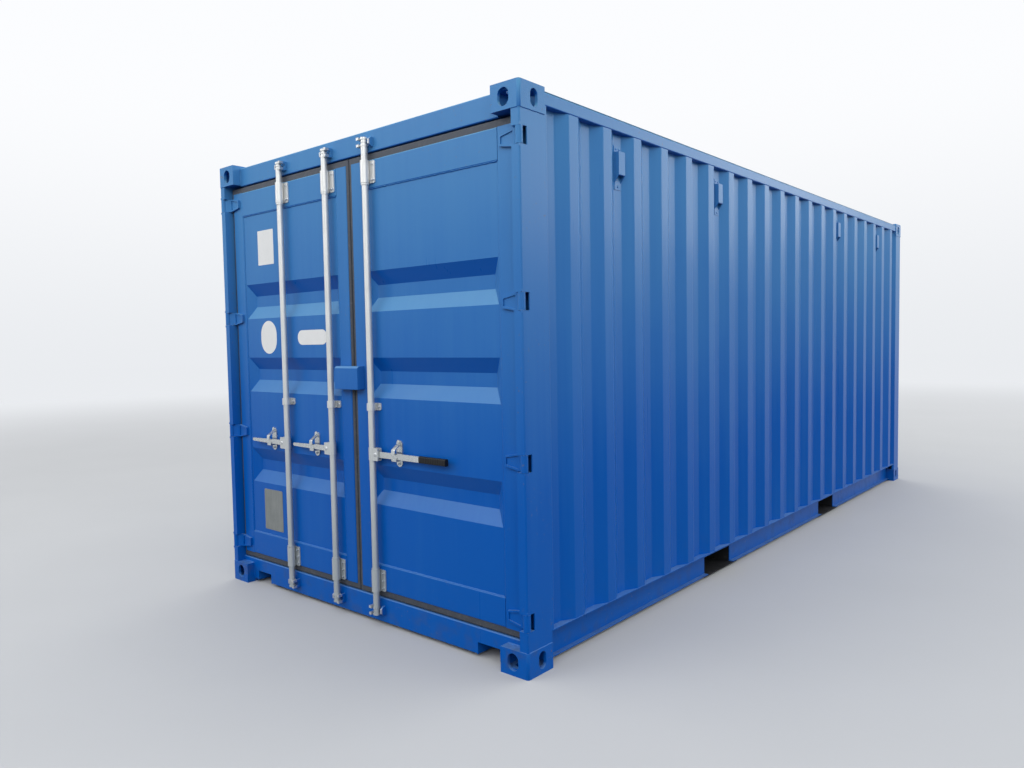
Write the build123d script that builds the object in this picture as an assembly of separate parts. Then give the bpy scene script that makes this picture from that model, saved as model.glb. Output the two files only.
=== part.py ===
from build123d import *
import os

# Overall size of the container: X across, Y from the doors to the front, Z up.
WIDTH = 2438.0
LENGTH = 6058.0
HEIGHT = 2591.0

# Corner castings, hollow steel blocks with an oblong hole in each outer face.
CASTING_X = 162.0
CASTING_Y = 178.0
CASTING_Z = 118.0
CASTING_WALL = 16.0
CASTING_LOAD_WALL = 28.0
CASTING_CORNER_R = 14.0
LOCK_HOLE_LONG = 124.5
LOCK_HOLE_WIDE = 63.5
SIDE_HOLE_WIDE = 51.0
END_HOLE_WIDE = 63.5
WALL_HOLE_TALL = 79.5
HOLE_FROM_SIDE = 89.0
HOLE_FROM_END = 101.5
WALL_HOLE_FROM_LOAD_FACE = 62.0

# Corner posts.
REAR_POST_X = 49.0
REAR_POST_Y = 191.0
REAR_POST_FLANGE = 39.0
FRONT_POST_Y = 165.0
FRONT_POST_FLANGE = 38.0
FRONT_POST_SET_BACK = 8.0
FRONT_POST_RETURN = 46.0
POST_SET_BACK = 3.0
POST_WALL = 6.0
POST_CORNER_R = 8.0

# Side walls: sheet pressed into upright corrugations.
WALL_SET_BACK = 5.0
SHEET = 2.0
SIDE_DEPTH = 36.0
SIDE_FLAT = 72.0
SIDE_SLOPE = 68.0
SIDE_LEAD = 63.0
BEND_R = 16.0

# Front wall corrugations.
FRONT_DEPTH = 45.0
FRONT_FLAT = 110.0
FRONT_SLOPE = 18.0
FRONT_INNER = 104.0
FRONT_BEND_R = 10.0

# Roof: pressed troughs run across it and end short of the side rails; a plate guards each corner.
ROOF_DEPTH = 20.0
ROOF_FLAT = 91.0
ROOF_SLOPE = 14.0
ROOF_END_SLOPE = 45.0
ROOF_DROP = 18.0
ROOF_END_MARGIN = 150.0
ROOF_SIDE_MARGIN = 90.0
ROOF_GUARD_X = 110.0
ROOF_GUARD_Y = 120.0
ROOF_GUARD = 4.0

# Rails.
TOP_RAIL = 60.0
TOP_RAIL_WALL = 4.0
TUBE_CORNER_R = 6.0
BASE_HEIGHT = 17.0
BOTTOM_RAIL_TOP = 175.0
BOTTOM_RAIL_FLANGE = 72.0
BOTTOM_RAIL_LIP = 27.0
BOTTOM_RAIL_WALL = 4.5
RAIL_SET_BACK = 2.0
FRONT_SILL_TOP = 160.0

# Door end: header, sill, recess of the doors behind the end plane.
DOOR_RECESS = 50.0
HEADER_DROP = 15.0
HEADER_Z = 111.0
HEADER_Y = 110.0
SILL_TOP = 147.0
SILL_Y = 124.0
BEAM_WALL = 5.0
SILL_NOTCH_WIDE = 140.0
SILL_NOTCH_TALL = 58.0
SILL_NOTCH_GAP = 46.0

# Floor and base.
CROSS_Z = 122.0
CROSS_FLANGE = 45.0
CROSS_WALL = 4.0
CROSS_PITCH = 300.0
PLYWOOD = 28.0
THRESHOLD_Y = 160.0
THRESHOLD_GAP = 9.0
POCKET_CENTRE = 1025.0
POCKET_WIDE = 360.0
POCKET_TOP = 121.0
POCKET_WALL = 4.0
STRAP_X = 220.0
STRAP_LAP = 50.0
STRAP_Z = 6.0

# Ventilators, in the inner flats of the side walls.
VENT_WIDE = 57.0
VENT_DROP = 57.0
VENT_TOP_FLANGE = 32.0
VENT_FACE_Z = 114.0
VENT_MOUTH_Z = 36.0
VENT_BOTTOM_FLANGE = 35.0
VENT_PROUD = 30.0
VENT_PLATE = 3.0

# Door leaves.
LEAF_BOTTOM_GAP = 38.0
LEAF_TOP_GAP = 38.0
LEAF_Y = 50.0
LEAF_CENTRE_GAP = 22.0
LEAF_SIDE_GAP = 71.0
OUTER_STILE = 100.0
INNER_STILE = 88.0
TOP_DOOR_RAIL = 146.0
BOTTOM_DOOR_RAIL = 140.0
DOOR_FRAME_WALL = 4.0
PANEL_SET_BACK = 6.0
GROOVE_DEPTH = 36.0
GROOVE_SLOPE = 72.0
GROOVE_FLOOR = 66.0
GROOVE_END_SLOPE = 50.0
GROOVE_END_MARGIN = 10.0
GROOVE_PLACES = (0.216, 0.503, 0.732)
GASKET_Y = 40.0
GASKET_SET_BACK = 4.0
GASKET_TOP = 33.0
GASKET_SIDE = 17.0
GASKET_CENTRE = 19.0
GASKET_EDGE_R = 7.0
GASKET_CHANNEL_Y = 14.0
GASKET_CHANNEL_DEPTH = 6.0

# Hinges, evenly spaced up each leaf.
HINGE_COUNT = 4
HINGE_FROM_BOTTOM = 65.0
HINGE_FROM_TOP = 67.0
PIN_INSET = 17.0
PIN_R = 9.0
RUNNING_GAP = 0.3
PRESS_GAP = 0.1
EYE_R = 16.5
KNUCKLE_Z = 76.0
KNUCKLE_GAP = 1.0
LUG_Z = 12.0
NOTCH_Y = 54.0
BLADE_REACH = 131.0
BLADE_THICK = 14.0
BLADE_TIP_Z = 48.0
BLADE_RIB = 8.0
BLADE_POCKET = 6.0
BLADE_SHOULDER = 20.0
BLADE_NECK = 10.0
BLADE_HEEL = 2.0

# Lock rods, cams and keepers.
ROD_INSET = 148.0
ROD_R = 17.0
ROD_BORE_R = 13.5
ROD_PROUD = 27.0
ROD_END_RISE = 44.0
ROD_END_DROP = 41.0
COLLAR_R = 21.0
COLLAR_Z = 9.0
COLLAR_GAP = 1.0
CAM_Z = 44.0
CAM_R = 19.0
CAM_BARREL_R = 15.0
CAM_FLANGE = 10.0
CAM_RING_R = 17.5
CAM_RING_Z = 6.0
CAM_LOBE_R = 25.5
CAM_LOBE_WIDE = 18.0
KEEPER_MARGIN = 2.0
KEEPER_HALF = 40.0
KEEPER_HORN = 11.0
KEEPER_REACH = 16.0
KEEPER_STUB = 14.0
KEEPER_LIP = 8.0
KEEPER_LIP_GAP = 2.5
KEEPER_WINDOW = 22.0
KEEPER_FOOT = 12.0

# Rod brackets.
SLEEVE_R = 22.5
BRACKET_PLATE = 6.0
BRACKET_SPAN = 51.0
BRACKET_WEB = 8.0
BRACKET_Z = 114.0
BRACKET_EDGE = 7.0
BRACKET_CORNER_R = 9.0
GUIDE_HEIGHT = 1159.0
GUIDE_SPAN = 45.0
GUIDE_Z = 38.0

# Handles, their hubs and retainers.
HANDLE_HEIGHT = 914.0
RIGHT_HANDLE_REACH = 542.0
HANDLE_TIP_GAP = 64.0
HANDLE_END_GAP = 180.0
RETAINER_REACH = 180.0
HUB_R = 19.5
HUB_Z = 66.0
PIVOT_REACH = 40.0
PIVOT_R = 7.0
PIVOT_HEAD = 3.0
EAR = 8.0
EAR_REACH = 17.0
EAR_Z = 66.0
EAR_CORNER_R = 5.0
HANDLE_THICK = 12.0
HANDLE_ROOT_R = 15.5
HANDLE_TIP_R = (9.0, 9.0, 15.0)
GRIP_LENGTH = 180.0
GRIP_COVER = 5.0
GRIP_TALL = 35.0
GRIP_THICK = 22.0
GRIP_EDGE_R = 8.0
RETAINER_WIDE = 44.0
RETAINER_TALL = 136.0
RETAINER_RISE = 12.0
RETAINER_PLATE = 6.0
CRADLE_LEDGE = 8.0
CRADLE_WIDE = 36.0
CRADLE_GAP = 1.0
CRADLE_LIP = 4.0
CRADLE_LIP_Z = 10.0
HASP_RISE = 69.0
HASP_WIDE = 26.0
HASP_THICK = 5.0
HASP_NECK = 10.0
HASP_SLOPE = 27.0
HASP_LAP = 8.0
HASP_SPLAY = 2.0
HASP_BEND_R = 4.0
HASP_CLEAR = 5.0
HASP_PIN_R = 5.0
HASP_HEAD_R = 6.5
HASP_HEAD = 2.5

# Lock box over the joint of the doors.
BOX_LEFT = 105.0
BOX_RIGHT = 89.0
BOX_BOTTOM = 1246.0
BOX_TOP = 1369.0
BOX_WALL = 4.0
BOX_BEVEL = 10.0
BOX_CLEAR = 6.0
BOX_MARGIN = 2.0

# How far a cutting shape runs past the face that it opens.
CUT = 1.0

# Places worked out from the sizes above.
SIDE = WIDTH / 2
FRONT = LENGTH / 2
REAR = -LENGTH / 2
DOOR_FACE = REAR + DOOR_RECESS
DOOR_BACK = DOOR_FACE + LEAF_Y
PANEL_FACE = DOOR_FACE + PANEL_SET_BACK
LEAF_OUTER = SIDE - LEAF_SIDE_GAP
WALL_OUT = SIDE - WALL_SET_BACK
WALL_IN = WALL_OUT - SIDE_DEPTH
POST_IN = SIDE - REAR_POST_X
POST_OUT = SIDE - POST_SET_BACK
POST_REAR = REAR + POST_SET_BACK
CASTING_IN = SIDE - CASTING_X
POST_BOTTOM = CASTING_Z
POST_TOP = HEIGHT - CASTING_Z
WALL_REAR = REAR + REAR_POST_Y + REAR_POST_FLANGE
WALL_FRONT = FRONT - FRONT_POST_Y - FRONT_POST_FLANGE
RAIL_OUT = SIDE - RAIL_SET_BACK
RAIL_WEB = RAIL_OUT - BOTTOM_RAIL_FLANGE
ROOF_Z = HEIGHT - ROOF_DROP
TOP_RAIL_BOTTOM = ROOF_Z - TOP_RAIL
CROSS_TOP = BASE_HEIGHT + CROSS_Z
FLOOR_TOP = CROSS_TOP + PLYWOOD
FRONT_FACE = FRONT - FRONT_POST_SET_BACK
PIN_X = SIDE - PIN_INSET
PIN_Y = REAR + PIN_INSET
ROD_Y = DOOR_FACE - ROD_PROUD
HEADER_TOP = HEIGHT - HEADER_DROP
HEADER_BOTTOM = HEADER_TOP - HEADER_Z
LEAF_BOTTOM = SILL_TOP + LEAF_BOTTOM_GAP
LEAF_TOP = HEADER_BOTTOM - LEAF_TOP_GAP
PANEL_BOTTOM = LEAF_BOTTOM + BOTTOM_DOOR_RAIL
PANEL_TOP = LEAF_TOP - TOP_DOOR_RAIL
GROOVE_CENTRES = [PANEL_BOTTOM + place * (PANEL_TOP - PANEL_BOTTOM) for place in GROOVE_PLACES]
HINGE_BOTTOM = LEAF_BOTTOM + HINGE_FROM_BOTTOM
HINGE_PITCH = (LEAF_TOP - HINGE_FROM_TOP - HINGE_BOTTOM) / (HINGE_COUNT - 1)
HINGE_HEIGHTS = [HINGE_BOTTOM + index * HINGE_PITCH for index in range(HINGE_COUNT)]
ROD_BOTTOM = BASE_HEIGHT + ROD_END_RISE
ROD_TOP = HEADER_TOP - ROD_END_DROP
ROD_NEAR = LEAF_CENTRE_GAP + ROD_INSET
LEFT_HANDLE_REACH = (LEAF_OUTER - ROD_NEAR - HANDLE_TIP_GAP - HANDLE_END_GAP) / 2
HANDLE_REACH = (LEFT_HANDLE_REACH, LEFT_HANDLE_REACH, RIGHT_HANDLE_REACH)
ROD_X = (-ROD_NEAR - LEFT_HANDLE_REACH - HANDLE_TIP_GAP, -ROD_NEAR, ROD_NEAR)
TOP_BRACKET = (LEAF_TOP - BRACKET_EDGE - BRACKET_Z, LEAF_TOP - BRACKET_EDGE)
GUIDE_BRACKET = (GUIDE_HEIGHT - GUIDE_Z / 2, GUIDE_HEIGHT + GUIDE_Z / 2)
BOTTOM_BRACKET = (LEAF_BOTTOM, LEAF_BOTTOM + BRACKET_Z)


def block(x, y, z):
    """A box between a low and a high value on each axis."""
    spans = (x, y, z)
    centre = [(low + high) / 2 for low, high in spans]
    return Pos(*centre) * Box(*[high - low for low, high in spans])


def plan_face(points, z):
    """A flat face from (x, y) corners at height z."""
    return make_face(Polyline(*[(x, y, z) for x, y in points], close=True))


def plan(points, z):
    """An outline seen from above, (x, y) corners, raised between two heights."""
    return extrude(plan_face(points, z[0]), z[1] - z[0], dir=(0, 0, 1))


def across(points, x):
    """An outline seen from the side, (y, z) corners, drawn out along X."""
    face = make_face(Polyline(*[(x[0], y, z) for y, z in points], close=True))
    return extrude(face, x[1] - x[0], dir=(1, 0, 0))


def along(points, y):
    """An outline seen from the end, (x, z) corners, drawn out along Y."""
    face = make_face(Polyline(*[(x, y[0], z) for x, z in points], close=True))
    return extrude(face, y[1] - y[0], dir=(0, 1, 0))


def upright(x, y, z, radius):
    """A round bar standing between two heights."""
    return Pos(x, y, (z[0] + z[1]) / 2) * Cylinder(radius, z[1] - z[0])


def peg(x, y, z, radius):
    """A round bar lying along Y."""
    return Pos(x, (y[0] + y[1]) / 2, z) * Rot(90, 0, 0) * Cylinder(radius, y[1] - y[0])


def hollow_section(x, y, z, wall, axis):
    """A rolled tube with rounded long edges, open at both ends of one axis."""
    outer = block(x, y, z)
    inner_spans = []
    for (low, high), name in zip((x, y, z), (Axis.X, Axis.Y, Axis.Z)):
        inner_spans.append((low - CUT, high + CUT) if name == axis else (low + wall, high - wall))
    outer = fillet(outer.edges().filter_by(axis), TUBE_CORNER_R)
    inner = block(*inner_spans)
    return outer - fillet(inner.edges().filter_by(axis), TUBE_CORNER_R - wall)


def flip(shape):
    """The same piece on the other side of the container."""
    return mirror(shape, about=Plane.YZ)


def oblong(centre, long_way, facing, length, width, depth):
    """A round-ended prism about a centre, long one way and facing another."""
    prism = extrude(SlotOverall(length, width), depth / 2, both=True)
    return Plane(origin=centre, x_dir=long_way, z_dir=facing) * prism


def folded_line(flats, set_out, set_in):
    """Corners of a folded sheet: each flat is (start, end, outer?) and the slopes join them."""
    line = []
    for start, end, is_out in flats:
        level = set_out if is_out else set_in
        line += [(start, level), (end, level)]
    return line


def bent_sheet(points, bend, side, z):
    """A sheet standing between two heights, its outer face on (x, y) points with rounded bends."""
    line = FilletPolyline(*[(x, y, z[0]) for x, y in points], radius=bend)
    section = make_face(offset(line, SHEET, side=side, closed=True))
    return extrude(section, z[1] - z[0], dir=(0, 0, 1))


def dish(centre, long_way, inwards, mouth, floor, depth):
    """A pressed hollow, sloped all round, from a mouth rectangle to a smaller floor rectangle."""
    top = Plane(origin=centre, x_dir=long_way, z_dir=inwards)
    bottom = top.offset(depth)
    return loft([(top * Rectangle(*mouth)).face(), (bottom * Rectangle(*floor)).face()], ruled=True)


def pressed_panel(plate, dishes, inwards):
    """A plate with hollows pressed into it: each hollow keeps the thickness of the sheet."""
    shift = Pos(*[SHEET * step for step in inwards])
    for hollow in dishes:
        plate += shift * hollow
    for hollow in dishes:
        plate -= hollow
    return plate


def corner_casting():
    """One casting at the +X, rear, top corner, then moved and turned to the others."""
    x = (CASTING_IN, SIDE)
    y = (REAR, REAR + CASTING_Y)
    z = (HEIGHT - CASTING_Z, HEIGHT)
    body = block(x, y, z)
    corner = body.edges().filter_by(Axis.Z).sort_by_distance((SIDE, REAR, HEIGHT))[0]
    body = fillet(corner, CASTING_CORNER_R)
    body -= block((x[0] + CASTING_WALL, x[1] - CASTING_WALL),
                  (y[0] + CASTING_WALL, y[1] - CASTING_WALL),
                  (z[0] + CASTING_WALL, z[1] - CASTING_LOAD_WALL))
    hole_x = SIDE - HOLE_FROM_SIDE
    hole_y = REAR + HOLE_FROM_END
    hole_z = HEIGHT - WALL_HOLE_FROM_LOAD_FACE
    through_load = 2 * (CASTING_LOAD_WALL + CUT)
    through_wall = 2 * (CASTING_WALL + CUT)
    body -= oblong((hole_x, hole_y, z[1]), (0, 1, 0), (0, 0, 1), LOCK_HOLE_LONG, LOCK_HOLE_WIDE, through_load)
    body -= oblong((hole_x, y[0], hole_z), (0, 0, 1), (0, 1, 0), WALL_HOLE_TALL, END_HOLE_WIDE, through_wall)
    return body - oblong((x[1], hole_y, hole_z), (0, 0, 1), (1, 0, 0),
                         WALL_HOLE_TALL, SIDE_HOLE_WIDE, through_wall)


def corner_castings():
    """All eight castings, as a top set and a bottom set."""
    rear = corner_casting()
    right = [rear, mirror(rear, about=Plane.XZ)]
    top = right + [flip(piece) for piece in right]
    middle = Plane.XY.offset(HEIGHT / 2)
    bottom = [mirror(piece, about=middle) for piece in top]
    return top, bottom


def pressed_post(outline, casting_y):
    """A closed pressed section between two castings; what stands past them runs from rail to rail."""
    sharp = plan_face(outline, POST_BOTTOM)
    outside = [corner for corner in sharp.vertices() if abs(corner.X - POST_OUT) < CUT]
    face = fillet(outside, POST_CORNER_R)
    hollow = offset(face, -POST_WALL, kind=Kind.INTERSECTION)
    tall = TOP_RAIL_BOTTOM - POST_BOTTOM
    post = extrude(face, tall, dir=(0, 0, 1)) - extrude(hollow, tall, dir=(0, 0, 1))
    at_casting, past_casting = casting_y
    post -= block((0, SIDE + CUT), at_casting, (POST_TOP, HEIGHT))
    return post - block((0, SIDE + CUT), past_casting, (0, BOTTOM_RAIL_TOP))


def rear_post():
    """Right rear post: a closed pressed section, notched at each hinge between two lugs."""
    outline = [(POST_IN, POST_REAR), (POST_OUT, POST_REAR), (POST_OUT, REAR + REAR_POST_Y),
               (WALL_IN, WALL_REAR), (POST_IN, WALL_REAR)]
    casting_end = REAR + CASTING_Y
    post = pressed_post(outline, ((REAR - CUT, casting_end), (casting_end, 0)))
    gap = KNUCKLE_Z / 2 + KNUCKLE_GAP
    lug = gap + LUG_Z
    for height in HINGE_HEIGHTS:
        notch_y = (POST_REAR, REAR + NOTCH_Y)
        post += block((POST_IN, POST_OUT), notch_y, (height - lug, height + lug))
        post -= block((POST_IN - CUT, SIDE + CUT), (REAR - CUT, REAR + NOTCH_Y), (height - gap, height + gap))
        post -= upright(PIN_X, PIN_Y, (height - lug - CUT, height + lug + CUT), PIN_R + PRESS_GAP)
    return post


def front_post():
    """Right front post: a closed pressed section with a slanted inner face."""
    outline = [(POST_OUT, FRONT_FACE), (CASTING_IN, FRONT_FACE), (CASTING_IN, FRONT_FACE - FRONT_POST_RETURN),
               (WALL_IN - SHEET, WALL_FRONT), (WALL_IN, WALL_FRONT), (POST_OUT, FRONT - FRONT_POST_Y)]
    casting_end = FRONT - CASTING_Y
    return pressed_post(outline, ((casting_end, FRONT + CUT), (0, casting_end)))


def hinge_pins():
    """Eight pins, each held at both ends in the lugs of a post."""
    gap = KNUCKLE_Z / 2 + KNUCKLE_GAP + LUG_Z
    pins = []
    for height in HINGE_HEIGHTS:
        pin = upright(PIN_X, PIN_Y, (height - gap, height + gap), PIN_R)
        pins += [pin, flip(pin)]
    return pins


def side_wall():
    """Right side wall: upright trapezoid corrugations between the posts and the rails."""
    pitch = 2 * (SIDE_FLAT + SIDE_SLOPE)
    lead = SIDE_LEAD + SIDE_SLOPE
    run = WALL_FRONT - WALL_REAR
    count = int((run - lead - SIDE_SLOPE - SIDE_FLAT) // pitch) + 1
    flats = [(WALL_REAR, WALL_REAR + SIDE_LEAD, False)]
    for index in range(count):
        start = WALL_REAR + lead + index * pitch
        flats.append((start, start + SIDE_FLAT, True))
        inner = start + SIDE_FLAT + SIDE_SLOPE
        last = index == count - 1
        flats.append((inner, WALL_FRONT if last else inner + SIDE_FLAT, False))
    corners = [(x, y) for y, x in folded_line(flats, WALL_OUT, WALL_IN)]
    floors = [(start + end) / 2 for start, end, is_out in flats[2:-1] if not is_out]
    return bent_sheet(corners, BEND_R, Side.LEFT, (BOTTOM_RAIL_TOP, TOP_RAIL_BOTTOM)), floors


def ventilator(y):
    """One ventilator on an inner flat of the right wall: a plate and a hood with a slanted open mouth."""
    base = WALL_IN
    plate = base + VENT_PLATE
    face = base + VENT_PROUD
    top = TOP_RAIL_BOTTOM - VENT_DROP
    face_top = top - VENT_TOP_FLANGE
    face_bottom = face_top - VENT_FACE_Z
    mouth = face_bottom - VENT_MOUTH_Z
    bottom = mouth - VENT_BOTTOM_FLANGE
    outline = [(base, bottom), (plate, bottom), (plate, mouth), (face, face_bottom),
               (face, face_top), (plate, face_top), (plate, top), (base, top)]
    wall = VENT_PLATE
    hollow = [(plate, mouth - CUT), (face - wall, mouth - CUT), (face - wall, face_top - wall),
              (plate, face_top - wall)]
    half = VENT_WIDE / 2
    return along(outline, (y - half, y + half)) - along(hollow, (y - half + wall, y + half - wall))


def front_wall():
    """Front wall: deep upright corrugations between the front posts."""
    pitch = FRONT_FLAT + FRONT_INNER + 2 * FRONT_SLOPE
    run = 2 * CASTING_IN
    count = int((run - FRONT_FLAT) // pitch)
    end_flat = (run - count * pitch + FRONT_FLAT) / 2
    flats = [(-CASTING_IN, -CASTING_IN + end_flat, True)]
    for index in range(count):
        start = flats[-1][1] + FRONT_SLOPE
        flats.append((start, start + FRONT_INNER, False))
        start += FRONT_INNER + FRONT_SLOPE
        last = index == count - 1
        flats.append((start, CASTING_IN if last else start + FRONT_FLAT, True))
    corners = folded_line(flats, FRONT_FACE, FRONT_FACE - FRONT_DEPTH)
    return bent_sheet(corners, FRONT_BEND_R, Side.RIGHT, (FRONT_SILL_TOP, TOP_RAIL_BOTTOM))


def roof_panel():
    """Roof: one sheet on the rails with troughs pressed across it, and a guard plate at each corner."""
    rear = DOOR_FACE + HEADER_Y
    pitch = 2 * (ROOF_FLAT + ROOF_SLOPE)
    run = FRONT_FACE - rear
    count = int((run - 2 * ROOF_END_MARGIN + ROOF_FLAT) // pitch)
    first = (rear + FRONT_FACE - (count - 1) * pitch) / 2
    top = ROOF_Z + SHEET
    mouth = (2 * (WALL_OUT - ROOF_SIDE_MARGIN), ROOF_FLAT + 2 * ROOF_SLOPE)
    floor = (mouth[0] - 2 * ROOF_END_SLOPE, ROOF_FLAT)
    down = (0, 0, -1)
    troughs = [dish((0, first + index * pitch, top), (1, 0, 0), down, mouth, floor, ROOF_DEPTH)
               for index in range(count)]
    panel = pressed_panel(block((-WALL_OUT, WALL_OUT), (rear, FRONT_FACE), (ROOF_Z, top)), troughs, down)
    corner_y = FRONT - CASTING_Y
    for sign in (-1, 1):
        corner_x = sorted((sign * CASTING_IN, sign * SIDE))
        guard_x = sorted((sign * (CASTING_IN - ROOF_GUARD_X), sign * CASTING_IN))
        panel -= block(corner_x, (REAR, -corner_y), (0, HEIGHT))
        panel -= block(corner_x, (corner_y, FRONT), (0, HEIGHT))
        panel += block(guard_x, (rear, rear + ROOF_GUARD_Y), (top, top + ROOF_GUARD))
        panel += block(guard_x, (FRONT_FACE - ROOF_GUARD_Y, FRONT_FACE), (top, top + ROOF_GUARD))
    return panel


def top_side_rail():
    """Right top side rail: a square tube between the castings."""
    end = FRONT - CASTING_Y
    return hollow_section((WALL_OUT - TOP_RAIL, WALL_OUT), (-end, end), (TOP_RAIL_BOTTOM, ROOF_Z),
                          TOP_RAIL_WALL, Axis.Y)


def front_top_rail():
    """Square tube between the front castings."""
    return hollow_section((-CASTING_IN, CASTING_IN), (FRONT_FACE - TOP_RAIL, FRONT_FACE),
                          (TOP_RAIL_BOTTOM, ROOF_Z), TOP_RAIL_WALL, Axis.X)


def front_bottom_rail():
    """Box rail between the front castings, under the front wall."""
    return hollow_section((-CASTING_IN, CASTING_IN), (FRONT_FACE - TOP_RAIL, FRONT_FACE),
                          (BASE_HEIGHT, FRONT_SILL_TOP), TOP_RAIL_WALL, Axis.X)


def bottom_side_rail():
    """Right bottom side rail: a channel open to the outside, cut away at the forklift pockets."""
    end = FRONT - CASTING_Y
    web_in = RAIL_WEB - BOTTOM_RAIL_WALL
    low, high = BASE_HEIGHT, BOTTOM_RAIL_TOP
    wall = BOTTOM_RAIL_WALL
    outline = [(web_in, low), (RAIL_WEB + BOTTOM_RAIL_LIP, low), (RAIL_WEB + BOTTOM_RAIL_LIP, low + wall),
               (RAIL_WEB, low + wall), (RAIL_WEB, high - wall), (RAIL_OUT, high - wall),
               (RAIL_OUT, high), (web_in, high)]
    rail = along(outline, (-end, end))
    for centre in (-POCKET_CENTRE, POCKET_CENTRE):
        half = POCKET_WIDE / 2
        rail -= block((web_in - CUT, SIDE), (centre - half, centre + half), (low - CUT, POCKET_TOP))
    return rail


def forklift_pockets():
    """Two tunnels across the base, each an upturned trough with a strap under both ends."""
    pockets = []
    for centre in (-POCKET_CENTRE, POCKET_CENTRE):
        half = POCKET_WIDE / 2
        inner_y = (centre - half, centre + half)
        outer_y = (inner_y[0] - POCKET_WALL, inner_y[1] + POCKET_WALL)
        reach = RAIL_WEB - BOTTOM_RAIL_WALL
        pocket = block((-reach, reach), outer_y, (BASE_HEIGHT, POCKET_TOP + POCKET_WALL))
        pocket -= block((-reach - CUT, reach + CUT), inner_y, (BASE_HEIGHT - CUT, POCKET_TOP))
        strap_y = (inner_y[0] - STRAP_LAP, inner_y[1] + STRAP_LAP)
        for sign in (-1, 1):
            edge = RAIL_WEB + BOTTOM_RAIL_LIP
            strap_x = sorted((sign * edge, sign * (edge - STRAP_X)))
            pocket += block(strap_x, strap_y, (BASE_HEIGHT - STRAP_Z, BASE_HEIGHT))
        pockets.append(pocket)
    return pockets


def crossmember(y):
    """One floor crossmember: a channel from rail to rail, open towards the front."""
    low, high = BASE_HEIGHT, CROSS_TOP
    web, toe = y + CROSS_WALL, y + CROSS_FLANGE
    outline = [(y, low), (toe, low), (toe, low + CROSS_WALL), (web, low + CROSS_WALL),
               (web, high - CROSS_WALL), (toe, high - CROSS_WALL), (toe, high), (y, high)]
    reach = RAIL_WEB - BOTTOM_RAIL_WALL
    return across(outline, (-reach, reach))


def floor_crossmembers():
    """Crossmembers at an even pitch, left out where a forklift pocket takes their place."""
    first = REAR + CASTING_Y + CROSS_FLANGE
    last = FRONT - CASTING_Y - 2 * CROSS_FLANGE
    count = round((last - first) / CROSS_PITCH) + 1
    keep_out = POCKET_WIDE / 2 + STRAP_LAP + CROSS_FLANGE
    members = []
    for index in range(count):
        y = first + (last - first) * index / (count - 1)
        middle = y + CROSS_FLANGE / 2
        if min(abs(middle - POCKET_CENTRE), abs(middle + POCKET_CENTRE)) > keep_out:
            members.append(crossmember(y))
    return members


def floor_boards():
    """Plywood floor on the crossmembers, from the threshold plate to the front rail."""
    reach = RAIL_WEB - BOTTOM_RAIL_WALL
    rear = DOOR_BACK + THRESHOLD_GAP + THRESHOLD_Y
    boards = block((-reach, reach), (rear, FRONT_FACE - TOP_RAIL), (CROSS_TOP, FLOOR_TOP))
    for sign in (-1, 1):
        corner_x = sorted((sign * CASTING_IN, sign * SIDE))
        boards -= block(corner_x, (FRONT - CASTING_Y, FRONT), (CROSS_TOP, FLOOR_TOP))
    return boards


def threshold_plate():
    """Folded steel plate on the sill, in front of the plywood."""
    rear = DOOR_BACK + THRESHOLD_GAP
    front = rear + THRESHOLD_Y
    wall = CROSS_WALL
    outline = [(rear, SILL_TOP), (rear + wall, SILL_TOP), (rear + wall, FLOOR_TOP - wall),
               (front, FLOOR_TOP - wall), (front, FLOOR_TOP), (rear, FLOOR_TOP)]
    reach = RAIL_WEB - BOTTOM_RAIL_WALL
    return across(outline, (-reach, reach))


def door_header():
    """Box beam over the doors, between the top castings."""
    return hollow_section((-CASTING_IN, CASTING_IN), (DOOR_FACE, DOOR_FACE + HEADER_Y),
                          (HEADER_BOTTOM, HEADER_TOP), BEAM_WALL, Axis.X)


def door_sill():
    """Box beam under the doors, cut out beside each casting, with a folded plate over each casting."""
    y = (DOOR_FACE, DOOR_FACE + SILL_Y)
    sill = hollow_section((-CASTING_IN, CASTING_IN), y, (BASE_HEIGHT, SILL_TOP), BEAM_WALL, Axis.X)
    under = SILL_TOP - BEAM_WALL
    fold = [(y[0], CASTING_Z), (y[0], SILL_TOP), (y[1], SILL_TOP), (y[1], under), (y[0] + BEAM_WALL, under),
            (y[0] + BEAM_WALL, CASTING_Z)]
    plate = across(fold, (CASTING_IN, POST_IN))
    bend = plate.edges().filter_by(Axis.X).sort_by_distance((POST_IN, y[0], SILL_TOP))[0]
    plate = fillet(bend, TUBE_CORNER_R)
    sill += plate
    sill += flip(plate)
    for sign in (-1, 1):
        outer = CASTING_IN - SILL_NOTCH_GAP
        x = sorted((sign * outer, sign * (outer - SILL_NOTCH_WIDE)))
        frame_x = (x[0] - BEAM_WALL, x[1] + BEAM_WALL)
        sill += block(frame_x, y, (BASE_HEIGHT, BASE_HEIGHT + SILL_NOTCH_TALL + BEAM_WALL))
        sill -= block(x, (y[0] - CUT, y[1] + CUT), (BASE_HEIGHT - CUT, BASE_HEIGHT + SILL_NOTCH_TALL))
    return sill


def door_stiles():
    """Right door: upright tubes at the hinge side and at the joint of the doors."""
    y = (DOOR_FACE, DOOR_BACK)
    z = (LEAF_BOTTOM, LEAF_TOP)
    inner = hollow_section((LEAF_CENTRE_GAP, LEAF_CENTRE_GAP + INNER_STILE), y, z, DOOR_FRAME_WALL, Axis.Z)
    outer = hollow_section((LEAF_OUTER - OUTER_STILE, LEAF_OUTER), y, z, DOOR_FRAME_WALL, Axis.Z)
    return [inner, outer]


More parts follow.
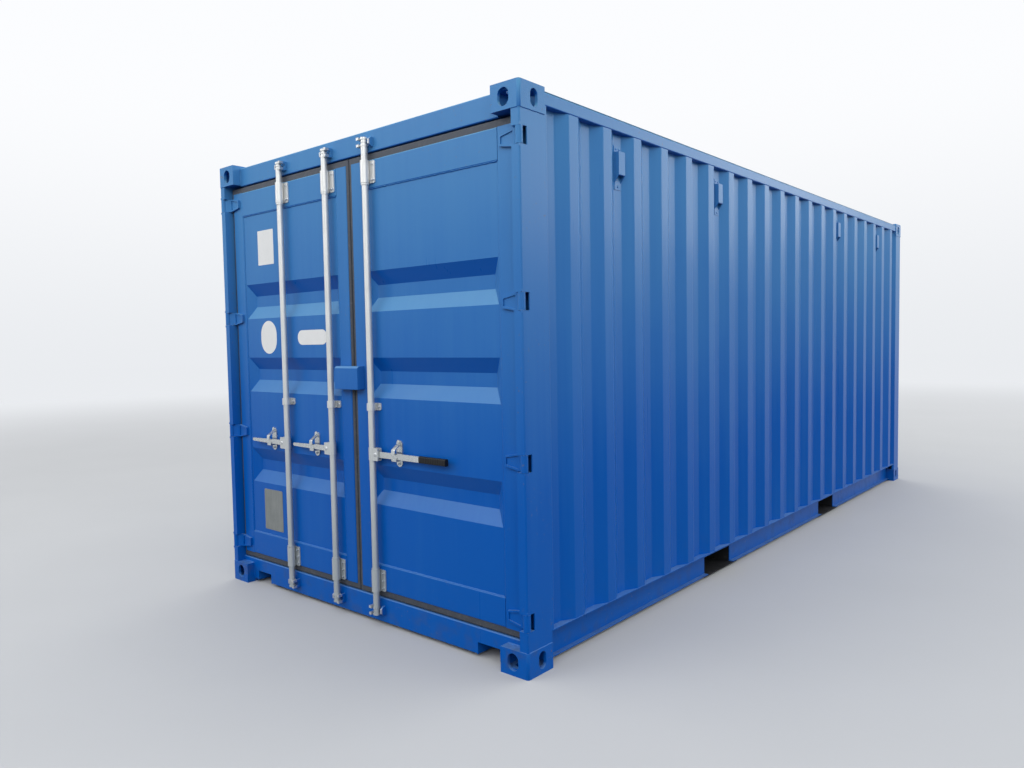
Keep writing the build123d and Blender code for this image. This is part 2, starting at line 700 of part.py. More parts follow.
def door_rails():
    """Right door: level tubes between the stiles at the top and the bottom."""
    x = (LEAF_CENTRE_GAP + INNER_STILE, LEAF_OUTER - OUTER_STILE)
    y = (DOOR_FACE, DOOR_BACK)
    top = hollow_section(x, y, (PANEL_TOP, LEAF_TOP), DOOR_FRAME_WALL, Axis.X)
    bottom = hollow_section(x, y, (LEAF_BOTTOM, PANEL_BOTTOM), DOOR_FRAME_WALL, Axis.X)
    return [top, bottom]


def door_panel():
    """Right door: sheet between stiles and rails, pressed into level grooves with closed ends."""
    x = (LEAF_CENTRE_GAP + INNER_STILE, LEAF_OUTER - OUTER_STILE)
    mouth = (x[1] - x[0] - 2 * GROOVE_END_MARGIN, GROOVE_FLOOR + 2 * GROOVE_SLOPE)
    floor = (mouth[0] - 2 * GROOVE_END_SLOPE, GROOVE_FLOOR)
    inwards = (0, 1, 0)
    grooves = [dish(((x[0] + x[1]) / 2, PANEL_FACE, centre), (1, 0, 0), inwards, mouth, floor, GROOVE_DEPTH)
               for centre in GROOVE_CENTRES]
    sheet = block(x, (PANEL_FACE, PANEL_FACE + SHEET), (PANEL_BOTTOM, PANEL_TOP))
    return pressed_panel(sheet, grooves, inwards)


def door_gasket():
    """Right door: rubber frame round the leaf, rounded in front, with a channel between two lips."""
    front = DOOR_FACE + GASKET_SET_BACK
    back = front + GASKET_Y
    leaf_x = (LEAF_CENTRE_GAP, LEAF_OUTER)
    x = (leaf_x[0] - GASKET_CENTRE, leaf_x[1] + GASKET_SIDE)
    z = (LEAF_BOTTOM - GASKET_TOP, LEAF_TOP + GASKET_TOP)
    frame = block(x, (front, back), z)
    frame = fillet(frame.faces().sort_by(Axis.Y)[0].edges(), GASKET_EDGE_R)
    channel_y = (back - 2 * GASKET_CHANNEL_Y, back - GASKET_CHANNEL_Y)
    depth = GASKET_CHANNEL_DEPTH
    channel = block((x[0] - CUT, x[1] + CUT), channel_y, (z[0] - CUT, z[1] + CUT))
    channel -= block((x[0] + depth, x[1] - depth), channel_y, (z[0] + depth, z[1] - depth))
    return frame - channel - block(leaf_x, (front - CUT, back + CUT), (LEAF_BOTTOM, LEAF_TOP))


def hinge_blades():
    """Right door: four forged blades, an eye on the pin and a tapering ribbed strap on the stile."""
    tip = PIN_X - BLADE_REACH
    front = DOOR_FACE - BLADE_THICK
    outline = [(tip, DOOR_FACE), (POST_IN + BLADE_HEEL, DOOR_FACE), (PIN_X, PIN_Y + EYE_R), (PIN_X, PIN_Y),
               (PIN_X - EYE_R, PIN_Y), (POST_IN - BLADE_NECK, front), (tip, front)]
    blades = []
    for height in HINGE_HEIGHTS:
        half = KNUCKLE_Z / 2
        low, high = height - half, height + half
        blade = plan(outline, (low, high)) + upright(PIN_X, PIN_Y, (low, high), EYE_R)
        shoulder = POST_IN - BLADE_SHOULDER
        tip_half = BLADE_TIP_Z / 2
        taper = [(tip, height - tip_half), (shoulder, low), (SIDE, low), (SIDE, high), (shoulder, high),
                 (tip, height + tip_half)]
        blade &= along(taper, (REAR - CUT, DOOR_FACE))
        rib = BLADE_RIB
        pocket = [(tip + rib, height - tip_half + rib), (shoulder, low + rib), (shoulder, high - rib),
                  (tip + rib, height + tip_half - rib)]
        blade -= along(pocket, (front - CUT, front + BLADE_POCKET))
        blade -= upright(PIN_X, PIN_Y, (low - CUT, high + CUT), PIN_R + RUNNING_GAP)
        blades.append(blade)
    return blades


def handle_side(index):
    """Which way a handle points: -1 on the left door, 1 on the right door."""
    return 1 if ROD_X[index] > 0 else -1


def cam(x, side, low):
    """One cam: a grooved barrel between two flanges whose lobes point away from the handle."""
    high = low + CAM_Z
    middle = (low + high) / 2
    body = upright(x, ROD_Y, (low, high), CAM_BARREL_R)
    body += upright(x, ROD_Y, (middle - CAM_RING_Z / 2, middle + CAM_RING_Z / 2), CAM_RING_R)
    lobe_y = (ROD_Y - CAM_LOBE_WIDE / 2, ROD_Y + CAM_LOBE_WIDE / 2)
    lobe_x = sorted((x, x - side * CAM_LOBE_R))
    for z in ((low, low + CAM_FLANGE), (high - CAM_FLANGE, high)):
        body += upright(x, ROD_Y, z, CAM_R)
        body += block(lobe_x, lobe_y, z) & upright(x, ROD_Y, z, CAM_LOBE_R)
    return body


def handle_hub(x, side):
    """The hub on a rod: a ring with two plates that hold the handle's pivot between them."""
    z = (HANDLE_HEIGHT - HUB_Z / 2, HANDLE_HEIGHT + HUB_Z / 2)
    plate_z = (HANDLE_HEIGHT - EAR_Z / 2, HANDLE_HEIGHT + EAR_Z / 2)
    pivot_x = x + side * PIVOT_REACH
    end_x = pivot_x + side * EAR_REACH
    slot = HANDLE_THICK / 2 + RUNNING_GAP
    y = (ROD_Y - slot - EAR, ROD_Y + slot + EAR)
    plates = block(sorted((x, end_x)), y, plate_z)
    far_edges = plates.edges().filter_by(Axis.Y).sort_by_distance((end_x, ROD_Y, HANDLE_HEIGHT))[:2]
    hub = upright(x, ROD_Y, z, HUB_R) + fillet(far_edges, EAR_CORNER_R)
    slot_x = sorted((x + side * (HUB_R + RUNNING_GAP), end_x + side * CUT))
    hub -= block(slot_x, (ROD_Y - slot, ROD_Y + slot), z)
    hub -= upright(x, ROD_Y, (z[0] - CUT, z[1] + CUT), ROD_BORE_R)
    return hub + peg(pivot_x, (y[0] - PIVOT_HEAD, y[1] + PIVOT_HEAD), HANDLE_HEIGHT, PIVOT_R)


def lock_rod(index):
    """One lock rod: a tube with a cam at each end, a collar at both end brackets and a hub."""
    x = ROD_X[index]
    side = handle_side(index)
    cam_lows = (ROD_BOTTOM, ROD_TOP - CAM_Z)
    tube_z = (ROD_BOTTOM + CAM_Z, ROD_TOP - CAM_Z)
    rod = upright(x, ROD_Y, tube_z, ROD_R) - upright(x, ROD_Y, tube_z, ROD_BORE_R)
    for low in cam_lows:
        rod += cam(x, side, low)
    collar_top = TOP_BRACKET[0] - COLLAR_GAP
    collar_bottom = BOTTOM_BRACKET[1] + COLLAR_GAP
    for z in ((collar_top - COLLAR_Z, collar_top), (collar_bottom, collar_bottom + COLLAR_Z)):
        rod += upright(x, ROD_Y, z, COLLAR_R) - upright(x, ROD_Y, z, ROD_BORE_R)
    return rod + handle_hub(x, side)


def lock_handle(index):
    """One flat handle, round at the pivot and at the tip; the left ones taper."""
    side = handle_side(index)
    tip_r = HANDLE_TIP_R[index]
    pivot_x = ROD_X[index] + side * PIVOT_REACH
    tip_x = ROD_X[index] + side * (HANDLE_REACH[index] - tip_r)
    y = (ROD_Y - HANDLE_THICK / 2, ROD_Y + HANDLE_THICK / 2)
    taper = [(pivot_x, HANDLE_HEIGHT - HANDLE_ROOT_R), (tip_x, HANDLE_HEIGHT - tip_r),
             (tip_x, HANDLE_HEIGHT + tip_r), (pivot_x, HANDLE_HEIGHT + HANDLE_ROOT_R)]
    handle = along(taper, y)
    handle += peg(pivot_x, y, HANDLE_HEIGHT, HANDLE_ROOT_R)
    handle += peg(tip_x, y, HANDLE_HEIGHT, tip_r)
    return handle - peg(pivot_x, (y[0] - CUT, y[1] + CUT), HANDLE_HEIGHT, PIVOT_R + RUNNING_GAP)


def handle_grip(handle):
    """Plastic sleeve over the end of the right handle."""
    tip = ROD_X[2] + HANDLE_REACH[2]
    x = (tip - GRIP_LENGTH, tip + GRIP_COVER)
    sleeve = Pos((x[0] + x[1]) / 2, ROD_Y, HANDLE_HEIGHT) * Box(x[1] - x[0], GRIP_THICK, GRIP_TALL)
    return fillet(sleeve.edges().filter_by(Axis.X), GRIP_EDGE_R) - handle


def retainer(index):
    """One handle retainer: an oval plate, a lipped cradle under the handle and a headed pin."""
    x = ROD_X[index] + handle_side(index) * RETAINER_REACH
    z = HANDLE_HEIGHT + RETAINER_RISE
    plate_front = PANEL_FACE - RETAINER_PLATE
    plate = oblong((x, (PANEL_FACE + plate_front) / 2, z), (0, 0, 1), (0, 1, 0),
                   RETAINER_TALL, RETAINER_WIDE, RETAINER_PLATE)
    ledge_top = HANDLE_HEIGHT - HANDLE_ROOT_R - CRADLE_GAP
    lip_back = ROD_Y - HANDLE_THICK / 2 - CRADLE_GAP
    lip_front = lip_back - CRADLE_LIP
    ledge_bottom = ledge_top - CRADLE_LEDGE
    lip_top = ledge_top + CRADLE_LIP_Z
    cradle = [(plate_front, ledge_bottom), (plate_front, ledge_top), (lip_back, ledge_top),
              (lip_back, lip_top), (lip_front, lip_top), (lip_front, ledge_bottom)]
    plate += across(cradle, (x - CRADLE_WIDE / 2, x + CRADLE_WIDE / 2))
    pin_z = HANDLE_HEIGHT + HASP_RISE
    head_back = plate_front - 2 * RUNNING_GAP - HASP_THICK
    plate += peg(x, (head_back, plate_front), pin_z, HASP_PIN_R)
    return plate + peg(x, (head_back - HASP_HEAD, head_back), pin_z, HASP_HEAD_R)


def hasp(index):
    """One hasp: a strip bent twice, from the retainer's pin out and down before the handle's edge."""
    x = ROD_X[index] + handle_side(index) * RETAINER_REACH
    pin_z = HANDLE_HEIGHT + HASP_RISE
    top, bottom = pin_z + HASP_WIDE / 2, HANDLE_HEIGHT + HANDLE_ROOT_R - HASP_LAP
    back = PANEL_FACE - RETAINER_PLATE - RUNNING_GAP
    lap_back = ROD_Y - HANDLE_THICK / 2 - HASP_CLEAR
    neck = pin_z - HASP_NECK
    start = x - HASP_WIDE / 2
    line = FilletPolyline((start, back, top), (start, back, neck), (start, lap_back, neck - HASP_SLOPE),
                          (start, lap_back - HASP_SPLAY, bottom), radius=HASP_BEND_R)
    section = make_face(offset(line, HASP_THICK, side=Side.RIGHT, closed=True))
    strip = extrude(section, HASP_WIDE, dir=(1, 0, 0))
    rounded = oblong((x, lap_back, (top + bottom) / 2), (0, 0, 1), (0, 1, 0),
                     top - bottom, HASP_WIDE, 2 * (back - lap_back + HASP_THICK))
    return (strip & rounded) - peg(x, (back - HASP_THICK - CUT, back + CUT), pin_z, HASP_PIN_R + RUNNING_GAP)


def rod_bracket(index, z, face, span):
    """One bracket: a sleeve round the rod on a web, with a round-cornered flange at each side of it."""
    x = ROD_X[index]
    flanges = block((x - span, x + span), (face - BRACKET_PLATE, face), z)
    bracket = fillet(flanges.edges().filter_by(Axis.Y), BRACKET_CORNER_R) + upright(x, ROD_Y, z, SLEEVE_R)
    bracket += block((x - BRACKET_WEB, x + BRACKET_WEB), (ROD_Y, face), z)
    return bracket - upright(x, ROD_Y, (z[0] - CUT, z[1] + CUT), ROD_R + RUNNING_GAP)


def rod_brackets(index):
    """Top bearing, middle guide and bottom bearing of one rod."""
    return [rod_bracket(index, TOP_BRACKET, DOOR_FACE, BRACKET_SPAN),
            rod_bracket(index, GUIDE_BRACKET, PANEL_FACE, GUIDE_SPAN),
            rod_bracket(index, BOTTOM_BRACKET, DOOR_FACE, BRACKET_SPAN)]


def cam_keepers():
    """Keepers on header and sill: a forked horn with lips before the cam's lobes, and a stub opposite."""
    keepers = []
    for index, x in enumerate(ROD_X):
        side = handle_side(index)
        for low in (ROD_BOTTOM, ROD_TOP - CAM_Z):
            z = (low - KEEPER_MARGIN, low + CAM_Z + KEEPER_MARGIN)
            middle = (z[0] + z[1]) / 2
            inner = KEEPER_HALF - KEEPER_HORN
            horn_x = sorted((x - side * inner, x - side * KEEPER_HALF))
            lip_x = sorted((x - side * (CAM_R + KEEPER_LIP_GAP), x - side * KEEPER_HALF))
            lip_y = ROD_Y - CAM_LOBE_WIDE / 2 - KEEPER_LIP_GAP
            horn = block(horn_x, (lip_y - KEEPER_LIP, DOOR_FACE), z)
            horn += block(lip_x, (lip_y - KEEPER_LIP, lip_y), z)
            fork = (middle - KEEPER_WINDOW / 2, middle + KEEPER_WINDOW / 2)
            horn -= block(lip_x, (lip_y - KEEPER_LIP - CUT, DOOR_FACE - KEEPER_FOOT), fork)
            stub_x = sorted((x + side * inner, x + side * KEEPER_HALF))
            root, crown = ROD_Y + KEEPER_STUB, ROD_Y - KEEPER_REACH + KEEPER_STUB
            stub = [(DOOR_FACE, z[0]), (root, z[0]), (crown, fork[0]), (crown, fork[1]), (root, z[1]),
                    (DOOR_FACE, z[1])]
            keepers += [horn, across(stub, stub_x)]
    return keepers


def lock_box():
    """Hood for a padlock over the joint of the doors, bevelled on top, open below, on the right door."""
    front, back = REAR + BOX_MARGIN, DOOR_FACE - BOX_CLEAR
    shell = [(front, BOX_BOTTOM), (front, BOX_TOP - BOX_BEVEL), (front + BOX_BEVEL, BOX_TOP),
             (back, BOX_TOP), (back, BOX_BOTTOM)]
    inner_top = BOX_TOP - BOX_WALL
    inner_front = front + BOX_WALL
    hollow = [(inner_front, BOX_BOTTOM - CUT), (inner_front, inner_top - BOX_BEVEL),
              (inner_front + BOX_BEVEL, inner_top), (back + CUT, inner_top), (back + CUT, BOX_BOTTOM - CUT)]
    hood = across(shell, (-BOX_LEFT, BOX_RIGHT)) - across(hollow, (BOX_WALL - BOX_LEFT, BOX_RIGHT - BOX_WALL))
    return hood + block((LEAF_CENTRE_GAP, BOX_RIGHT), (back, DOOR_FACE), (BOX_BOTTOM, BOX_TOP))


def save(name, pieces):
    """Write one node, a single solid or a list of solids."""
    shape = Compound(pieces) if isinstance(pieces, list) else pieces
    export_step(shape, f"parts/{name}.step")


os.makedirs("parts", exist_ok=True)

top_castings, bottom_castings = corner_castings()
save("top_corner_castings", top_castings)
save("bottom_corner_castings", bottom_castings)

post = rear_post()
save("rear_post_right", post)
save("rear_post_left", flip(post))
post = front_post()
save("front_post_right", post)
save("front_post_left", flip(post))
save("hinge_pins", hinge_pins())

wall, wall_floors = side_wall()
save("side_wall_right", wall)
save("side_wall_left", flip(wall))
vents = [ventilator(wall_floors[index]) for index in (1, 5, -6, -2)]
save("ventilators_right", vents)
save("ventilators_left", [flip(vent) for vent in vents])
save("front_wall", front_wall())
save("roof_panel", roof_panel())

for name, rail in (("top_side_rail", top_side_rail()), ("bottom_side_rail", bottom_side_rail())):
    save(f"{name}_right", rail)
    save(f"{name}_left", flip(rail))
save("front_top_rail", front_top_rail())
save("front_bottom_rail", front_bottom_rail())
save("door_header", door_header())
save("door_sill", door_sill())

save("floor_crossmembers", floor_crossmembers())
save("forklift_pockets", forklift_pockets())
save("floor_boards", floor_boards())
save("threshold_plate", threshold_plate())

for name, pieces in (("stiles", door_stiles()), ("rails", door_rails()), ("panel", [door_panel()]),
                     ("gasket", [door_gasket()]), ("hinges", hinge_blades())):
    save(f"right_door_{name}", pieces)
    save(f"left_door_{name}", [flip(piece) for piece in pieces])
save("left_rod_brackets", rod_brackets(0) + rod_brackets(1))
save("right_rod_brackets", rod_brackets(2))
save("left_handle_retainers", [retainer(0), retainer(1)])
save("right_handle_retainer", retainer(2))
save("lock_box", lock_box())
save("cam_keepers", cam_keepers())

for index, place in enumerate(("outer", "middle", "right")):
    handle = lock_handle(index)
    save(f"lock_rod_{place}", lock_rod(index))
    save(f"lock_handle_{place}", handle)
    save(f"handle_hasp_{place}", hasp(index))
save("handle_grip", handle_grip(lock_handle(2)))
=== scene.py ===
from math import cos, radians, sin

import bmesh
import bpy
from mathutils import Matrix, Vector


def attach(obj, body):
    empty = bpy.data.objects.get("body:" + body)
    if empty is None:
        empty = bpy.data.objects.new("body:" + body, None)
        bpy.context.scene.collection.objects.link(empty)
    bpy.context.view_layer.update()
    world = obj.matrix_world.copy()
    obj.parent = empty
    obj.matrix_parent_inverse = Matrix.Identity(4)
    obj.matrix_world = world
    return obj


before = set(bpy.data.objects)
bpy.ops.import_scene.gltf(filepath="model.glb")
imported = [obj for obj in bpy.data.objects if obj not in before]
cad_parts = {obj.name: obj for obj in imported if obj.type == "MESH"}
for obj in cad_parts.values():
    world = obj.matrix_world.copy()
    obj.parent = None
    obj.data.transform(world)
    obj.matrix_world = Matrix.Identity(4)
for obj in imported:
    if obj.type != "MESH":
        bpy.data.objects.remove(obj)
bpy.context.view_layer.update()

# The view. The camera stands at eye height off the right corner of the doors, with a wide
# lens, so that the doors and the long right side both run away from the near corner post.
azimuth, elevation, roll = radians(40.4666), radians(3.1546), radians(-1.0153)
back = Vector((sin(azimuth) * cos(elevation), -cos(azimuth) * cos(elevation), sin(elevation)))
level_right = Vector((0, 0, 1)).cross(back).normalized()
level_up = back.cross(level_right)
view_right = cos(roll) * level_right + sin(roll) * level_up
view_up = cos(roll) * level_up - sin(roll) * level_right
camera = bpy.data.objects.new("camera", bpy.data.cameras.new("camera"))
camera.data.lens = 27.06
camera.data.sensor_width = 36.0
camera.data.clip_end = 300.0
camera.matrix_world = (Matrix.Translation((3.31514, -5.56276, 1.48454))
                       @ Matrix((view_right, view_up, back)).transposed().to_4x4())
bpy.context.scene.collection.objects.link(camera)
bpy.context.scene.camera = camera
bpy.context.scene.view_settings.view_transform = "Standard"

# The eight corner castings. Hollow steel blocks from a sand mould, with a slot in the top or
# bottom face and a hole in each outer side, welded on before the blue paint goes over all.
DEEP_BLUE = (0.0001, 0.0920, 0.418, 1)
PALE_AND_LIT_BLUE = (0.0880, 0.2900, 0.525, 1)
DUST_AND_SKY_SHEEN = (0.2700, 0.3800, 0.450, 1)
DRY_MUD = (0.0700, 0.0680, 0.064, 1)
GREY_PRIMER = (0.1700, 0.1750, 0.180, 1)
BROWN_RUST = (0.1200, 0.0420, 0.017, 1)
BARE_STEEL = (0.6000, 0.6100, 0.610, 1)
LINING_GREY = (0.4600, 0.4850, 0.490, 1)


class Wire:
    """One socket of a finish, which can stand in a Python sum."""

    def __init__(self, socket):
        self.socket = socket

    def node(self, kind, settings, sockets, out=0):
        """Another node of the same finish: its settings, then its sockets. Gives one output."""
        tree = self.socket.id_data
        made = tree.nodes.new(kind)
        for name, value in settings.items():
            setattr(made, name, value)
        for name, value in sockets.items():
            if isinstance(value, Wire):
                tree.links.new(value.socket, made.inputs[name])
            else:
                made.inputs[name].default_value = value
        return Wire(made.outputs[out])

    def math(self, operation, first, second=0.0):
        return self.node("ShaderNodeMath", {"operation": operation}, {0: first, 1: second})

    def __add__(self, other):
        return self.math("ADD", self, other)

    def __sub__(self, other):
        return self.math("SUBTRACT", self, other)

    def __rsub__(self, other):
        return self.math("SUBTRACT", other, self)

    def __mul__(self, other):
        return self.math("MULTIPLY", self, other)

    def __mod__(self, other):
        return self.math("FLOORED_MODULO", self, other)

    def __abs__(self):
        return self.math("ABSOLUTE", self)

    __radd__ = __add__
    __rmul__ = __mul__


def new_finish(name):
    """An empty finish: the material, its object coordinates, the way it faces, and its shader."""
    made = bpy.data.materials.new(name)
    made.use_nodes = True
    nodes = made.node_tree.nodes
    where = nodes.new("ShaderNodeTexCoord")
    return made, Wire(where.outputs["Object"]), Wire(where.outputs["Normal"]), nodes["Principled BSDF"]


def axes(vector):
    """The three parts of a vector."""
    first = vector.node("ShaderNodeSeparateXYZ", {}, {0: vector})
    return [Wire(output) for output in first.socket.node.outputs]


def stretched(place, factors):
    """Coordinates scaled apart on each axis, for streaks and grain."""
    return place.node("ShaderNodeVectorMath", {"operation": "MULTIPLY"}, {0: place, 1: factors})


def clouds(place, scale, detail=3.0):
    """Soft random patches, from 0 to 1."""
    return place.node("ShaderNodeTexNoise", {}, {"Vector": place, "Scale": scale, "Detail": detail})


def rise(value, low, high):
    """0 below low, 1 above high, and smooth between."""
    return value.node("ShaderNodeMapRange", {"interpolation_type": "SMOOTHSTEP"},
                      {"Value": value, "From Min": low, "From Max": high})


def tint(share, first, second):
    """A colour on the way from the first to the second."""
    return share.node("ShaderNodeMix", {"data_type": "RGBA"}, {0: share, 6: first, 7: second}, out=2)


def relief(height, depth, over=None):
    """A surface raised by up to depth, in metres, on top of another relief."""
    sockets = {"Height": height, "Distance": depth, "Strength": 1.0}
    if over:
        sockets["Normal"] = over
    return height.node("ShaderNodeBump", {}, sockets)


def lay(shader, **wires):
    """Links what changes over the surface to the shader."""
    for name, wire in wires.items():
        shader.id_data.links.new(wire.socket, shader.inputs[name.replace("_", " ")])


def blue_paint(name, buckle=0.0, cast=0.0, splash=0.1, chips=0.0, dust_and_sheen_share=0.55, inside=None, rubbed=None):
    """Satin marine paint on steel. Painted light pales it towards the top and on what faces up, and
    leaves it deepest on what faces down; the dust on what faces up is partly real dust, partly a painted
    highlight.

    buckle and cast are depths in metres, splash, chips and dusty are shares, and inside and rubbed
    say where the grey lining and the bare steel show.
    """
    coat, place, facing, shader = new_finish(name)
    x, y, z = axes(place)
    towards = axes(facing)
    patches = clouds(place, 1.4, 4.0)
    streaks = clouds(stretched(place, (24.0, 24.0, 0.8)), 1.0)
    # Painted light: paler towards the top and on faces turned up, deepest on faces turned down, in place of
    # the sky's light and sheen; the random patches and streaks are the paint's own uneven tone.
    painted_light_from_above = rise(towards[2], -0.45, 0.45)
    tone_and_painted_light = rise(z, 0.5, 2.6) * (0.25 + 0.78 * painted_light_from_above) + 0.36 * (painted_light_from_above - 0.5)
    tone_and_painted_light = tone_and_painted_light + 0.22 * (patches - 0.5) + 0.14 * (streaks - 0.5) - 0.01
    colour = tint(tone_and_painted_light, DEEP_BLUE, PALE_AND_LIT_BLUE)
    # Dust on faces turned up, partly real dust and partly a painted highlight of the sky.
    drifts = rise(clouds(stretched(place, (1.6, 5.0, 3.0)), 1.0, 6.0), 0.3, 0.8)
    dust_and_sheen = rise(towards[2], 0.15, 0.75) * (0.22 + 0.26 * drifts)
    colour = tint(dust_and_sheen * dust_and_sheen_share, colour, DUST_AND_SKY_SHEEN)
    near_ground = 1 - rise(z, 0.03, 0.42)
    mud = near_ground * rise(clouds(place, 17.0, 6.0), 0.46, 0.72) * splash
    colour = tint(mud, colour, DRY_MUD)
    if chips:
        knocked = rise(clouds(place, 3.1), 0.46, 0.60)
        spots = rise(clouds(place, 46.0, 5.0), 0.64, 0.67) * knocked * chips
        colour = tint(spots, colour, GREY_PRIMER)
        colour = tint(rise(clouds(place, 90.0, 4.0), 0.52, 0.60) * spots, colour, BROWN_RUST)
    if inside:
        colour = tint(inside(x, y, z, *towards), colour, LINING_GREY)
    if rubbed:
        bare = rubbed(x, y, z)
        colour = tint(bare, colour, BARE_STEEL)
        lay(shader, Metallic=0.85 * bare)
    surface = relief(clouds(place, 310.0, 2.0), 0.00010)
    if cast:
        surface = relief(clouds(place, 150.0, 4.0), cast, surface)
    if buckle:
        surface = relief(clouds(place, 2.3, 1.0), buckle, surface)
    lay(shader, Base_Color=colour, Normal=surface,
        Roughness=0.20 + 0.10 * patches + 0.12 * streaks + 0.35 * dust_and_sheen + 0.35 * mud)
    shader.inputs["Specular IOR Level"].default_value = 0.14
    return coat


def dress(coat, *names):
    """Gives CAD nodes their finish."""
    for name in names:
        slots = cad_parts[name].data.materials
        slots.clear()
        slots.append(coat)


def soften(width, *names):
    """Turns down the hard edges of CAD nodes, as paint, casting and tumbling do."""
    for name in names:
        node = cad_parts[name]
        weld = node.modifiers.new("weld", "WELD")
        weld.merge_threshold = 0.00002
        edge = node.modifiers.new("edge", "BEVEL")
        edge.width, edge.segments = width, 3
        edge.limit_method, edge.angle_limit = "ANGLE", radians(38)
        edge.harden_normals = True


dress(blue_paint("casting_paint", cast=0.0009, splash=0.35, chips=0.7),
      "top_corner_castings", "bottom_corner_castings")
soften(0.0070, "top_corner_castings", "bottom_corner_castings")

# The corner posts. Closed sections pressed from thick plate and welded between the castings. The
# rear pair is notched between welded lugs that carry the hinge pins, the front pair is slanted inside.
LINING_END = 2.92
post_paint = blue_paint("post_paint", buckle=0.0010, chips=0.20,
                        inside=lambda x, y, z, fx, fy, fz: (rise(0 - x * fx, 0.3, 0.6)
                                                            * rise(LINING_END - abs(y), 0.0, 0.01)))
dress(post_paint, "rear_post_left", "rear_post_right", "front_post_left", "front_post_right")

# The rails that tie the corners together: header and sill at the doors, square tubes along
# the roof edge, deep open channels along the base. Welded to the castings and posts.
rail_paint = blue_paint("rail_paint", buckle=0.0008, splash=0.20, chips=0.25)
dress(rail_paint, "door_header", "door_sill", "front_top_rail", "front_bottom_rail",
      "top_side_rail_left", "top_side_rail_right", "bottom_side_rail_left", "bottom_side_rail_right")


def stand(place, axis):
    """Where a shape goes that was made upright, and whose top has to point along an axis."""
    return Matrix.Translation(place) @ Vector(axis).to_track_quat("Z", "Y").to_matrix().to_4x4()


def add_piece(name, mesh, coat, body, smooth=40.0):
    """A finished mesh as a piece of the object that rides on a body."""
    data = bpy.data.meshes.new(name)
    mesh.to_mesh(data)
    mesh.free()
    for face in data.polygons:
        face.use_smooth = True
    data.set_sharp_from_angle(angle=radians(smooth))
    data.materials.append(coat)
    made = bpy.data.objects.new(name, data)
    bpy.context.scene.collection.objects.link(made)
    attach(made, body)
    return made


def weld_bead(mesh, start, end, radius):
    """A rippled run of weld metal along a corner, from one point to another."""
    start, end = Vector(start), Vector(end)
    run = end - start
    way = run.normalized()
    made = bmesh.ops.create_cone(mesh, cap_ends=True, segments=8, radius1=radius, radius2=radius,
                                 depth=run.length, matrix=stand((start + end) / 2, way))
    long_edges = {edge for vert in made["verts"] for edge in vert.link_edges
                  if edge.calc_length() > 0.9 * run.length}
    ripples = max(2, round(run.length / 0.022))
    rings = bmesh.ops.subdivide_edges(mesh, edges=list(long_edges), cuts=ripples)
    for vert in {item for item in rings["geom_inner"] if isinstance(item, bmesh.types.BMVert)}:
        far = (vert.co - start).dot(way)
        on_axis = start + far * way
        swell = 1.0 + 0.22 * sin(far * 410.0)
        vert.co = on_axis + swell * (vert.co - on_axis)


DOOR_FACE = -2.979
POST_FACE = -3.0255
FRAME_SIDE = 1.2150
CASTING_SEAMS = (0.118, 2.473)
BEAD, FINE_BEAD = 0.004, 0.003
mesh = bmesh.new()
for side in (-1, 1):
    # Header and sill to the castings, and the foot of the post to the sill.
    weld_bead(mesh, (side * 1.057, DOOR_FACE, 2.480), (side * 1.057, DOOR_FACE, 2.570), BEAD)
    weld_bead(mesh, (side * 1.057, DOOR_FACE, 0.024), (side * 1.057, DOOR_FACE, 0.116), BEAD)
    weld_bead(mesh, (side * 1.062, DOOR_FACE, 0.118), (side * 1.166, DOOR_FACE, 0.118), BEAD)
    # Posts to the castings, on the end and on the side.
    for seam_z in CASTING_SEAMS:
        weld_bead(mesh, (side * 1.174, POST_FACE, seam_z), (side * 1.208, POST_FACE, seam_z), FINE_BEAD)
        for seam_from, seam_to in ((-3.016, -2.856), (2.856, 3.010)):
            weld_bead(mesh, (side * FRAME_SIDE, seam_from, seam_z),
                      (side * FRAME_SIDE, seam_to, seam_z), FINE_BEAD)
    # The ends of the side wall to the posts, and of the top rail to the castings.
    for wall_end in (-2.799, 2.826):
        weld_bead(mesh, (side * 1.180, wall_end, 0.180), (side * 1.180, wall_end, 2.508), BEAD)
    for rail_end in (-2.851, 2.851):
        weld_bead(mesh, (side * 1.205, rail_end, 2.520), (side * 1.205, rail_end, 2.566), BEAD)
add_piece("frame_welds", mesh, rail_paint, "frame")

# The underframe: pressed channels across the base, and two boxed pockets for lift truck forks
# with straps below. The crossmembers carry a thick black bitumen coat, dulled by road dirt; the
# same near-black on the fork pockets is painted shade for their dark insides.
bitumen_and_pocket_shade, place, facing, shader = new_finish("bitumen_and_pocket_shade")
tar_and_pocket_shade = tint(clouds(place, 8.0, 5.0), (0.006, 0.007, 0.009, 1), (0.017, 0.018, 0.021, 1))
tar_and_pocket_shade = tint(rise(clouds(place, 21.0, 6.0), 0.55, 0.78) * 0.5, tar_and_pocket_shade, DRY_MUD)
lay(shader, Base_Color=tar_and_pocket_shade, Roughness=0.55 + 0.3 * clouds(place, 30.0),
    Normal=relief(clouds(place, 120.0, 4.0), 0.0012))
shader.inputs["Specular IOR Level"].default_value = 0.25
# The fork pockets take this near-black as painted shade; on the crossmembers it is real bitumen.
dress(bitumen_and_pocket_shade, "floor_crossmembers", "forklift_pockets")

